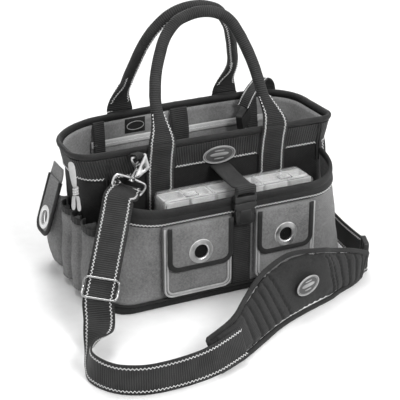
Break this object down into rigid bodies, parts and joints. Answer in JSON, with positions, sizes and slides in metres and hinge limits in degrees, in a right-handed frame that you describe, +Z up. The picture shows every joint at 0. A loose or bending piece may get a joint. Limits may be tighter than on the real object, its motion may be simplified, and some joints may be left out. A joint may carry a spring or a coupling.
{
  "type": "garden_tool_bag",
  "caption": "Open-top fabric garden tool bag with rolled carry handles, flap pockets, a clear parts case, side tool pockets and a padded shoulder strap with a wire slider.",
  "frame": {"origin": "on the underside of the base panel, below the centre of the main compartment", "axes": "+X to the right along the front, +Y from the front pocket towards the back, +Z up through the open mouth"},
  "size_m": [0.6477, 0.5443, 0.4712],
  "materials": {
    "black_nylon": "ribbed woven nylon",
    "grey_lining": "woven polyester lining",
    "black_plastic_sheet": "coated base sheet",
    "black_binding": "folded binding tape",
    "grey_polyester": "600 denier woven polyester",
    "clear_plastic": "translucent polypropylene",
    "chrome": "polished plating",
    "black_webbing": "woven polypropylene webbing",
    "black_acetal": "moulded acetal",
    "badge_vinyl": "moulded plain patch",
    "light_tape": "light grey woven tape",
    "zinc_steel": "plated steel wire and sheet",
    "black_pad_fabric": "padded knit fabric"
  },
  "bodies": {
    "root": {"main_shell": "black_nylon", "lining": "grey_lining", "base_board": "black_plastic_sheet", "base_panel": "black_plastic_sheet", "upper_band": "black_nylon", "rim_binding": "black_binding", "front_pocket": "grey_polyester", "front_pocket_band": "black_binding", "parts_case": "clear_plastic", "parts_case_lid": "clear_plastic", "parts_case_dividers": "clear_plastic", "flap_pocket_left": "grey_polyester", "flap_pocket_right": "grey_polyester", "center_strip": "black_webbing", "buckle_socket": "black_acetal", "closure_strap": "black_webbing", "front_handle_webbing": "black_webbing", "rear_handle_webbing": "black_webbing", "front_badge": "badge_vinyl", "inner_pocket": "grey_lining", "inner_pocket_binding": "light_tape", "inner_loops": "black_nylon", "inner_label": "badge_vinyl", "rear_pocket": "grey_polyester", "rear_pocket_band": "black_binding", "rear_strap": "black_webbing", "rear_strap_buckle": "black_acetal", "left_tool_pockets": "grey_polyester", "left_elastic_tops": "black_binding", "side_pocket": "grey_polyester", "right_tool_pockets": "grey_polyester", "right_elastic_tops": "black_binding", "ring_tabs": "black_webbing", "tape_clip_strap": "light_tape"},
    "front_handle": {"front_handle": "black_webbing"},
    "rear_handle": {"rear_handle": "black_webbing"},
    "flap_left": {"flap_left": "grey_polyester", "flap_left_binding": "black_binding", "flap_left_grommet": "chrome"},
    "flap_right": {"flap_right": "grey_polyester", "flap_right_binding": "black_binding", "flap_right_grommet": "chrome"},
    "side_flap": {"side_flap": "grey_polyester", "side_flap_ring": "chrome"},
    "buckle_plug": {"buckle_plug": "black_acetal"},
    "tape_clip": {"tape_clip": "zinc_steel"},
    "shoulder_strap": {"d_rings": "zinc_steel", "left_snap_hook": "zinc_steel", "right_snap_hook": "zinc_steel", "strap_left": "black_webbing", "shoulder_pad": "black_pad_fabric", "pad_badge": "badge_vinyl", "ladder_buckle": "black_acetal", "ladder_link": "black_webbing", "strap_right": "black_webbing"},
    "strap_slider": {"strap_slider": "zinc_steel"},
    "left_snap_lever": {"left_snap_lever": "zinc_steel"},
    "right_snap_lever": {"right_snap_lever": "zinc_steel"}
  },
  "joints": [
    {"name": "front_handle_fold", "type": "hinge", "parent": "root", "child": "front_handle", "pos_m": [0, -0.106, 0.262], "axis": [1, 0, 0], "range_deg": [0, 110]},
    {"name": "rear_handle_fold", "type": "hinge", "parent": "root", "child": "rear_handle", "pos_m": [0, 0.1, 0.262], "axis": [-1, 0, 0], "range_deg": [0, 110]},
    {"name": "left_flap_lift", "type": "hinge", "parent": "root", "child": "flap_left", "pos_m": [-0.085, -0.1995, 0.151], "axis": [-1, 0, 0], "range_deg": [0, 110]},
    {"name": "right_flap_lift", "type": "hinge", "parent": "root", "child": "flap_right", "pos_m": [0.077, -0.1995, 0.151], "axis": [-1, 0, 0], "range_deg": [0, 110]},
    {"name": "side_flap_lift", "type": "hinge", "parent": "root", "child": "side_flap", "pos_m": [-0.2525, 0.038, 0.176], "axis": [0, 1, 0], "range_deg": [0, 100]},
    {"name": "buckle_release", "type": "slide", "parent": "root", "child": "buckle_plug", "axis": [0, 0, 1], "range_m": [0, 0.03]},
    {"name": "tape_clip_swing", "type": "hinge", "parent": "root", "child": "tape_clip", "pos_m": [-0.262, -0.088, 0.207], "axis": [-0.5736, 0.8192, 0], "range_deg": [0, 80]},
    {"name": "shoulder_strap_lift", "type": "hinge", "parent": "root", "child": "shoulder_strap", "pos_m": [-0.16, -0.117, 0.253], "axis": [-0.924, -0.38, 0.0432], "range_deg": [0, 60]},
    {"name": "slider_travel", "type": "slide", "parent": "shoulder_strap", "child": "strap_slider", "axis": [0.4319, 0.5385, 0.7236], "range_m": [0, 0.1]},
    {"name": "left_lever_press", "type": "hinge", "parent": "shoulder_strap", "child": "left_snap_lever", "pos_m": [-0.1673, -0.129, 0.2239], "axis": [0, 1, 0], "range_deg": [0, 18], "stiffness_Nm_per_rad": 0.02},
    {"name": "right_lever_press", "type": "hinge", "parent": "shoulder_strap", "child": "right_snap_lever", "pos_m": [0.2532, 0.062, 0.2049], "axis": [0, -1, 0], "range_deg": [0, 18], "stiffness_Nm_per_rad": 0.02}
  ]
}
